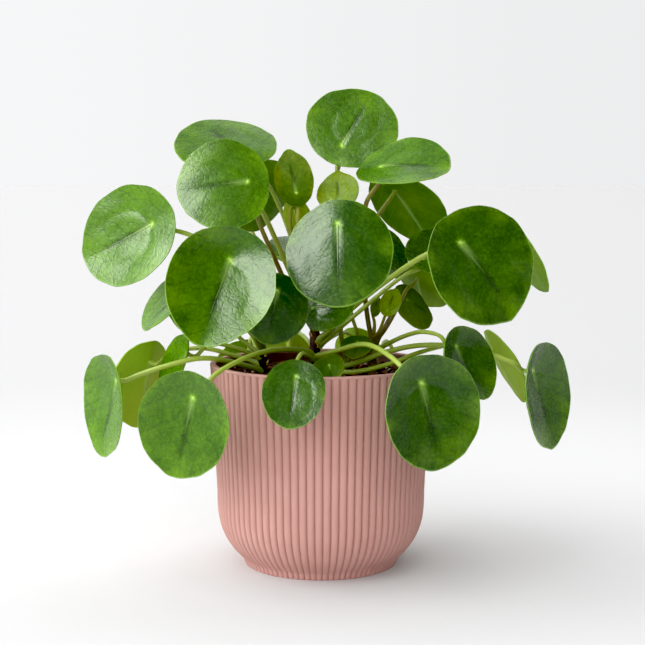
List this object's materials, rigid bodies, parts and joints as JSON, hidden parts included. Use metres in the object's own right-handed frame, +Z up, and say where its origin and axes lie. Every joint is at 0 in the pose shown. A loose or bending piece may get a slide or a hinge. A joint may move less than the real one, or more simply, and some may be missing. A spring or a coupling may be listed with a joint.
{
  "type": "potted pilea plant",
  "caption": "House plant with round leaves held near their middle on long stalks, growing from short stems in the soil of an upright-ribbed pot with a narrow foot.",
  "frame": {"origin": "middle of the pot's underside, on the surface the pot stands on", "axes": "+Z up along the pot's axis, -Y to the front of the plant, +X to the right as seen from the front"},
  "size_m": [0.3089, 0.2088, 0.2998],
  "materials": {
    "pot": "matt, pinkish terracotta",
    "soil": "loose, dark potting mix with bark",
    "woody_stem": "rough dark bark with leaf scars",
    "green_stem": "smooth olive brown",
    "leaf": "glossy, finely pebbled, deep green",
    "young_leaf": "satin, olive green"
  },
  "bodies": {
    "root": {"pot": "pot", "soil": "soil", "main_stem": "woody_stem", "left_offset_stem": "woody_stem", "middle_offset_stem": "green_stem", "right_offset_stem": "green_stem", "upper_leaf_1": "leaf", "upper_leaf_2": "leaf", "upper_leaf_3": "leaf", "upper_leaf_4": "leaf", "upper_leaf_5": "leaf", "upper_leaf_6": "leaf", "upper_leaf_7": "leaf", "upper_leaf_8": "leaf", "middle_leaf_1": "leaf", "middle_leaf_2": "leaf", "middle_leaf_3": "leaf", "middle_leaf_4": "leaf", "middle_leaf_5": "leaf", "middle_leaf_6": "leaf", "middle_leaf_7": "leaf", "middle_leaf_8": "leaf", "middle_leaf_9": "leaf", "middle_leaf_10": "leaf", "middle_leaf_11": "leaf", "middle_leaf_12": "leaf", "middle_leaf_13": "leaf", "middle_leaf_14": "leaf", "middle_leaf_15": "leaf", "middle_leaf_16": "leaf", "lower_leaf_1": "leaf", "lower_leaf_2": "leaf", "lower_leaf_3": "leaf", "lower_leaf_4": "leaf", "lower_leaf_5": "leaf", "lower_leaf_6": "leaf", "lower_leaf_7": "leaf", "lower_leaf_8": "leaf", "lower_leaf_9": "leaf", "lower_leaf_10": "leaf", "lower_leaf_11": "leaf", "lower_leaf_12": "leaf", "lower_leaf_13": "leaf", "young_leaf_1": "young_leaf", "young_leaf_2": "young_leaf", "young_leaf_3": "young_leaf", "young_leaf_4": "young_leaf", "young_leaf_5": "young_leaf", "young_leaf_6": "young_leaf", "young_leaf_7": "young_leaf", "young_leaf_8": "young_leaf"}
  },
  "joints": []
}
